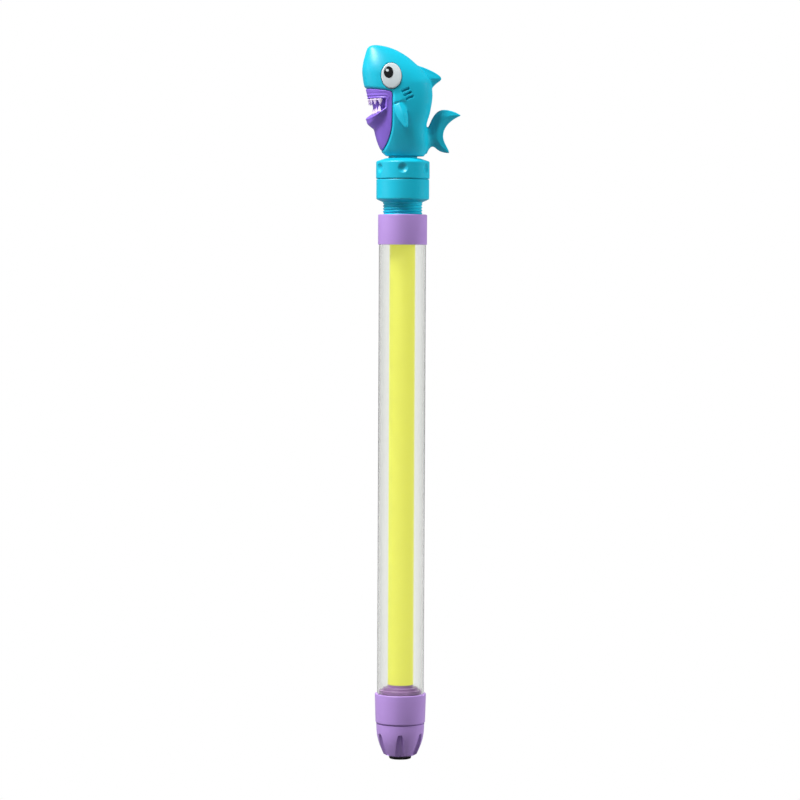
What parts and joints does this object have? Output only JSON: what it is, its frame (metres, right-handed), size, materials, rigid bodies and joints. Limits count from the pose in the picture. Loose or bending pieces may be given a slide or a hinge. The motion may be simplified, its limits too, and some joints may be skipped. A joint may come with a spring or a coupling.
{
  "type": "water squirter",
  "caption": "Hand-pumped water squirter: clear barrel, rod and piston, screw-on fluted nozzle, dimpled knob and a turning shark figure as the handle.",
  "frame": {"origin": "on the barrel axis in the plane of the nozzle tip", "axes": "+Z along the barrel axis from the nozzle to the handle; the shark faces -X at rest, its left side faces -Y"},
  "size_m": [0.061, 0.036, 0.4466],
  "materials": {
    "clear_tube": "clear extruded plastic",
    "cyan_plastic": "moulded satin gloss",
    "lilac_plastic": "moulded satin gloss",
    "yellow_rod": "fluorescent extruded plastic",
    "black_rubber": "matt rubber",
    "ivory_teeth": "moulded gloss",
    "white_eye": "moulded gloss",
    "black_pupil": "printed gloss"
  },
  "bodies": {
    "barrel": {"barrel_tube": "clear_tube", "top_collar": "lilac_plastic", "guide_cap": "cyan_plastic", "nozzle_sleeve": "lilac_plastic"},
    "jet": {"nozzle_insert": "black_rubber"},
    "nut": {"nozzle_nut": "lilac_plastic"},
    "plunger": {"piston_rod": "yellow_rod", "piston": "lilac_plastic", "piston_o_ring": "black_rubber", "handle_knob": "cyan_plastic"},
    "shark": {"shark_left": "cyan_plastic", "shark_right": "cyan_plastic", "mouth_belly": "lilac_plastic", "teeth_upper": "ivory_teeth", "teeth_lower": "ivory_teeth", "eye_left": "white_eye", "eye_right": "white_eye", "pupil_left": "black_pupil", "pupil_right": "black_pupil"}
  },
  "joints": [
    {"name": "plunger_slide", "type": "slide", "parent": "barrel", "child": "plunger", "axis": [0, 0, 1], "range_m": [0, 0.275]},
    {"name": "shark_swivel", "type": "hinge", "parent": "plunger", "child": "shark", "pos_m": [0, 0, 0.378], "axis": [0, 0, 1], "continuous": true},
    {"name": "nozzle_travel", "type": "slide", "parent": "barrel", "child": "jet", "axis": [0, 0, -1], "range_m": [0, 0.0046]},
    {"name": "nozzle_turn", "type": "hinge", "parent": "jet", "child": "nut", "pos_m": [0, 0, 0.012], "axis": [0, 0, -1], "range_deg": [0, 540]}
  ],
  "couplings": [
    {"joint": "nozzle_travel", "follows": "nozzle_turn", "m_per_rad": 0.00047746}
  ]
}
